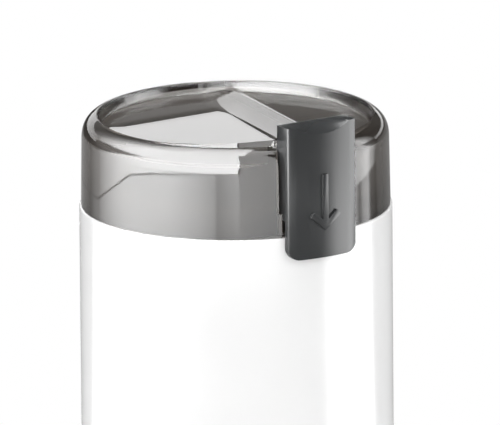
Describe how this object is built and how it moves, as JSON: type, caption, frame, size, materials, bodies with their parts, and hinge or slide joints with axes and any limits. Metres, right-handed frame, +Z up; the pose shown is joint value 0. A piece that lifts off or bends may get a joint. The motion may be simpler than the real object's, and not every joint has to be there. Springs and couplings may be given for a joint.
{
  "type": "electric spice grinder",
  "caption": "Round electric blade grinder for spices, with a steel bowl, a smoky lift-off lid and a push button at the front that closes the motor's switch.",
  "frame": {"origin": "on the axis of the sleeve, in the plane of the rubber feet's undersides", "axes": "+Z up along the motor's axis, -Y towards the push button, +Y towards the cord's inlet"},
  "size_m": [0.09, 0.094, 0.1585],
  "materials": {
    "white_shell": "glossy moulded white plastic",
    "smoky_lid": "clear smoky plastic, polished",
    "dark_button": "fine satin dark grey plastic",
    "grey_frame": "grey moulded plastic",
    "bowl_steel": "drawn stainless steel, polished",
    "blade_steel": "ground stainless steel",
    "dark_cap": "black plastic",
    "bright_steel": "bright zinc-plated steel",
    "lamination_steel": "stacked electrical sheet",
    "copper_wire": "enamelled copper wire",
    "copper_bar": "turned copper segments",
    "fan_plastic": "dark green-grey plastic",
    "cast_alloy": "die-cast alloy",
    "sintered_bronze": "sintered bronze",
    "brass_sheet": "stamped brass",
    "carbon": "pressed carbon",
    "rubber_grey": "soft dark rubber",
    "white_inner": "natural white acetal",
    "switch_black": "black thermoset",
    "switch_red": "red plastic",
    "capacitor_yellow": "yellow box film capacitor",
    "base_white": "satin white plastic"
  },
  "bodies": {
    "base": {"housing": "white_shell", "bowl_carrier": "grey_frame", "grinding_bowl": "bowl_steel", "bowl_seal": "rubber_grey", "stator_core": "lamination_steel", "field_coils": "copper_wire", "upper_bracket": "cast_alloy", "lower_bracket": "cast_alloy", "upper_bearing": "sintered_bronze", "lower_bearing": "sintered_bronze", "brush_holders": "brass_sheet", "carbon_brushes": "carbon", "brush_springs": "bright_steel", "motor_bolts": "bright_steel", "motor_dampers": "rubber_grey", "lower_damper": "rubber_grey", "return_spring": "bright_steel", "switch_body": "switch_black", "switch_screws": "bright_steel", "capacitor": "capacitor_yellow", "base_plate": "base_white", "base_screws": "bright_steel", "rubber_feet": "rubber_grey", "cord_grommet": "rubber_grey"},
    "rotor": {"blade": "blade_steel", "blade_spacer": "bright_steel", "blade_nut": "dark_cap", "motor_shaft": "bright_steel", "armature_core": "lamination_steel", "armature_winding": "copper_wire", "commutator": "copper_bar", "cooling_fan": "fan_plastic"},
    "lid": {"lid_shell": "smoky_lid"},
    "button": {"push_button": "dark_button"},
    "slider": {"switch_slider": "white_inner"},
    "lever": {"switch_lever": "bright_steel"},
    "plunger": {"switch_plunger": "switch_red"}
  },
  "joints": [
    {"name": "lid_lift", "type": "slide", "parent": "base", "child": "lid", "axis": [0, 0, 1], "range_m": [0, 0.06]},
    {"name": "button_press", "type": "slide", "parent": "lid", "child": "button", "axis": [0, 0, -1], "range_m": [0, 0.004], "stiffness_N_per_m": 300, "springref_m": -0.004},
    {"name": "slider_travel", "type": "slide", "parent": "base", "child": "slider", "axis": [0, 0, -1], "range_m": [0, 0.004], "deforming": ["return_spring"]},
    {"name": "lever_swing", "type": "hinge", "parent": "base", "child": "lever", "pos_m": [0.013, -0.0382, 0.08868], "axis": [0, -1, 0], "range_deg": [0, 17.1]},
    {"name": "plunger_travel", "type": "slide", "parent": "base", "child": "plunger", "axis": [0, 0, -1], "range_m": [0, 0.0012]},
    {"name": "rotor_spin", "type": "hinge", "parent": "base", "child": "rotor", "pos_m": [0, 0, 0.1], "axis": [0, 0, 1], "continuous": true}
  ],
  "couplings": [
    {"joint": "slider_travel", "follows": "button_press", "ratio": 1},
    {"joint": "lever_swing", "follows": "button_press", "rad_per_m": 74.55},
    {"joint": "plunger_travel", "follows": "button_press", "ratio": 0.3}
  ]
}
